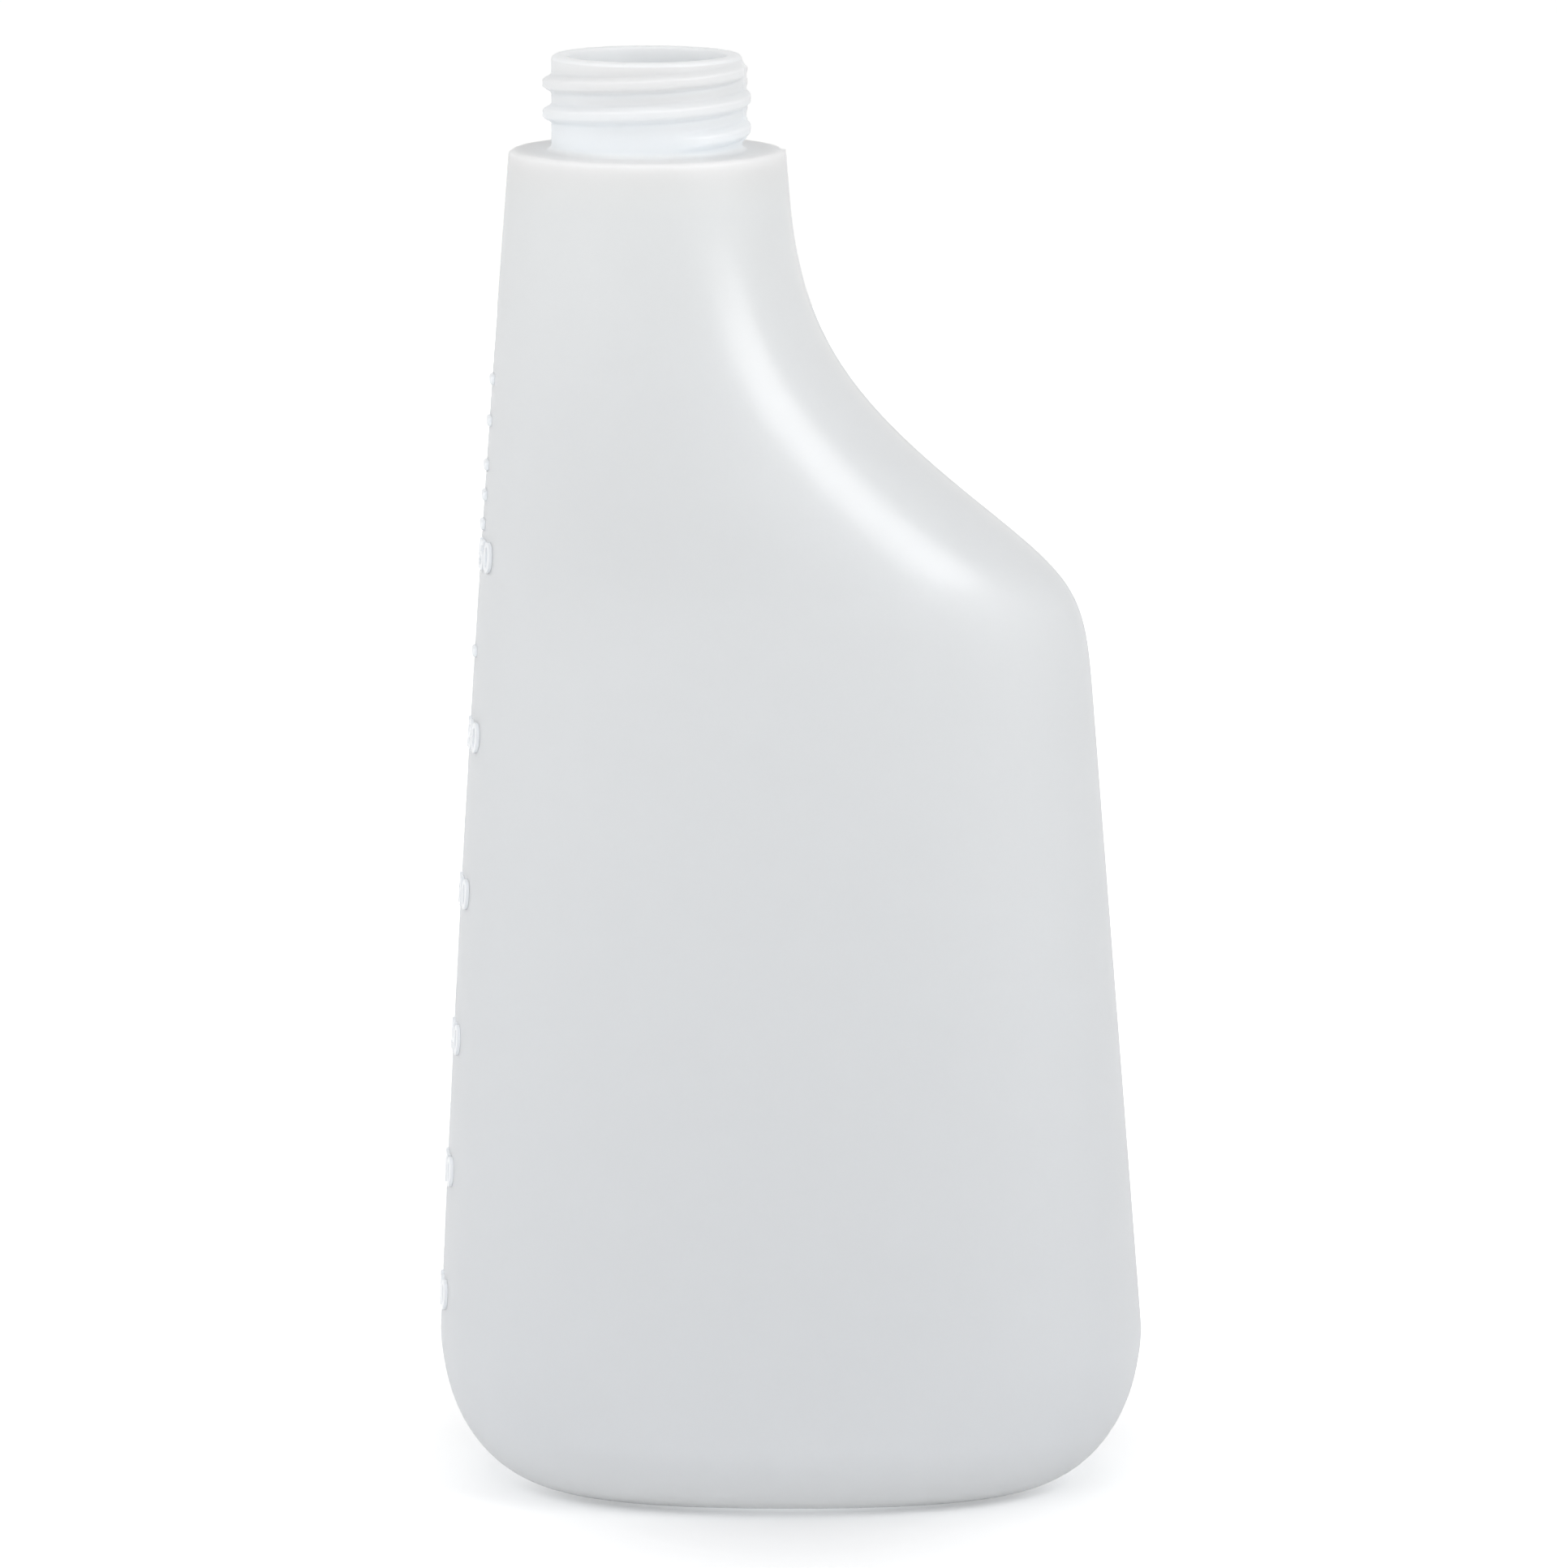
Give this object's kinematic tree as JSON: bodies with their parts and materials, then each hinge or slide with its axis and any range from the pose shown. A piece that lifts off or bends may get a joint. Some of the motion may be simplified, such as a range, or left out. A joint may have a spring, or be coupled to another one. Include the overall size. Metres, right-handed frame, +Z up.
{
  "type": "plastic bottle",
  "caption": "Empty translucent plastic spray bottle body with a screw neck set to one side, a hollowed finger grip, straight tapering sides and a rounded oval base.",
  "frame": {"origin": "middle of the base, on the surface that the bottle stands on", "axes": "+Z up, +X towards the finger grip, +Y from the front face to the back face"},
  "size_m": [0.094, 0.062, 0.1907],
  "materials": {
    "bottle": "satin, milky and translucent, undyed polyethylene"
  },
  "bodies": {
    "root": {"bottle": "bottle"}
  },
  "joints": []
}
